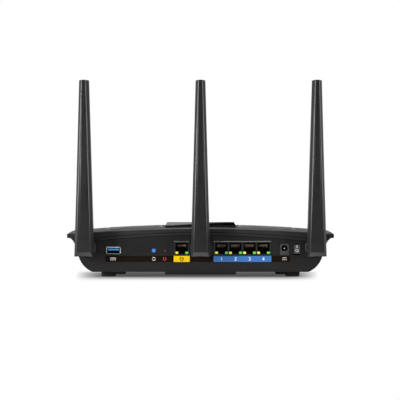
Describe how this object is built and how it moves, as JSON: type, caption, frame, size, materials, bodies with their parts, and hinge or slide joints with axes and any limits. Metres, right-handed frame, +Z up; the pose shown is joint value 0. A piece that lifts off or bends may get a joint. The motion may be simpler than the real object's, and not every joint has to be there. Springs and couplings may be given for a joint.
{
  "type": "wireless router",
  "caption": "Low domed desktop wireless router with a socket panel at the back and folding, swivelling blade antennas.",
  "frame": {"origin": "on the table, under the middle of the bounding box of the router with its antennas upright", "axes": "+X to the right as seen from behind, along the width; +Y from the socket panel to the front; +Z up"},
  "size_m": [0.267, 0.2054, 0.1932],
  "materials": {
    "black_plastic": "fine moulded texture",
    "gloss_black": "polished",
    "foot_rubber": "matte",
    "screw_steel": "zinc plated",
    "board_green": "solder mask",
    "chip_black": "moulded",
    "pad_grey": "soft",
    "sink_aluminium": "anodised",
    "tinned_sheet": "tin plated",
    "capacitor_aluminium": "sleeved",
    "socket_sheet": "nickel plated",
    "dark_sheet": "black nickel plated",
    "inlet_grey": "moulded",
    "mark_white": "printed",
    "mark_dark": "printed",
    "mark_red": "printed",
    "insert_black": "moulded",
    "gilt_contact": "gilt",
    "lamp_yellow": "translucent",
    "lamp_green": "translucent",
    "lamp_white": "translucent",
    "tongue_blue": "moulded",
    "rocker_grey": "moulded",
    "button_blue": "moulded",
    "button_red": "moulded",
    "label_dark": "printed film",
    "label_yellow": "printed film",
    "label_blue": "printed film",
    "lead_grey": "jacketed lead",
    "clear_pipe": "clear moulded acrylic"
  },
  "bodies": {
    "router_case": {"antenna_lead_centre": "lead_grey", "antenna_lead_left": "lead_grey", "antenna_lead_right": "lead_grey", "board_screws": "screw_steel", "capacitors": "capacitor_aluminium", "case_screws": "screw_steel", "ethernet_magnetics": "chip_black", "green_lamps": "lamp_green", "heat_sink": "sink_aluminium", "inlet_pin": "tinned_sheet", "inlet_spring": "tinned_sheet", "lan_jack_contacts": "gilt_contact", "lan_jack_insert": "insert_black", "lan_jack_shield": "dark_sheet", "lan_label": "label_blue", "light_pipe": "clear_pipe", "lower_case": "black_plastic", "main_board": "board_green", "memory_chips": "chip_black", "pairing_switch": "chip_black", "panel_bush_centre": "insert_black", "panel_bush_left": "insert_black", "panel_bush_right": "insert_black", "port_label": "label_dark", "power_inlet": "inlet_grey", "processor": "chip_black", "radio_shield_left": "tinned_sheet", "radio_shield_right": "tinned_sheet", "reset_switch": "chip_black", "rubber_feet": "foot_rubber", "spine_plate": "gloss_black", "status_lamp": "lamp_white", "switch_box": "insert_black", "thermal_pad": "pad_grey", "top_cover": "black_plastic", "usb_core": "insert_black", "usb_shell": "socket_sheet", "usb_tongue": "tongue_blue", "vent_grille_left": "black_plastic", "vent_grille_right": "black_plastic", "wan_jack_contacts": "gilt_contact", "wan_jack_insert": "insert_black", "wan_jack_shield": "dark_sheet", "wan_label": "label_yellow", "yellow_lamps": "lamp_yellow"},
    "hub_left": {"swivel_hub_left": "black_plastic"},
    "antenna_left": {"antenna_blade_left": "black_plastic", "hinge_pin_left": "screw_steel", "antenna_element_left": "board_green"},
    "hub_centre": {"swivel_hub_centre": "black_plastic"},
    "antenna_centre": {"antenna_blade_centre": "black_plastic", "hinge_pin_centre": "screw_steel", "antenna_element_centre": "board_green"},
    "hub_right": {"swivel_hub_right": "black_plastic"},
    "antenna_right": {"antenna_blade_right": "black_plastic", "hinge_pin_right": "screw_steel", "antenna_element_right": "board_green"},
    "pairing_button": {"pairing_button": "button_blue"},
    "reset_button": {"reset_button": "button_red"},
    "power_rocker": {"power_rocker": "rocker_grey"}
  },
  "joints": [
    {"name": "antenna_left_swivel", "type": "hinge", "parent": "router_case", "child": "hub_left", "pos_m": [-0.1143, -0.0845, 0.0293], "axis": [0, 1, 0], "range_deg": [-90, 35]},
    {"name": "antenna_left_fold", "type": "hinge", "parent": "hub_left", "child": "antenna_left", "pos_m": [-0.1143, -0.0967, 0.0293], "axis": [1, 0, 0], "range_deg": [0, 90]},
    {"name": "antenna_centre_swivel", "type": "hinge", "parent": "router_case", "child": "hub_centre", "pos_m": [0, -0.0845, 0.0293], "axis": [0, 1, 0], "range_deg": [-35, 35]},
    {"name": "antenna_centre_fold", "type": "hinge", "parent": "hub_centre", "child": "antenna_centre", "pos_m": [0, -0.0967, 0.0293], "axis": [1, 0, 0], "range_deg": [0, 90]},
    {"name": "antenna_right_swivel", "type": "hinge", "parent": "router_case", "child": "hub_right", "pos_m": [0.1143, -0.0845, 0.0293], "axis": [0, 1, 0], "range_deg": [-35, 90]},
    {"name": "antenna_right_fold", "type": "hinge", "parent": "hub_right", "child": "antenna_right", "pos_m": [0.1143, -0.0967, 0.0293], "axis": [1, 0, 0], "range_deg": [0, 90]},
    {"name": "pairing_button_press", "type": "slide", "parent": "router_case", "child": "pairing_button", "axis": [0, 1, 0], "range_m": [0, 0.0005], "stiffness_N_per_m": 600},
    {"name": "reset_button_press", "type": "slide", "parent": "router_case", "child": "reset_button", "axis": [0, 1, 0], "range_m": [0, 0.0005], "stiffness_N_per_m": 600},
    {"name": "power_rocker_tilt", "type": "hinge", "parent": "router_case", "child": "power_rocker", "pos_m": [0.0965, -0.0783, 0.0273], "axis": [1, 0, 0], "range_deg": [0, 14]}
  ]
}
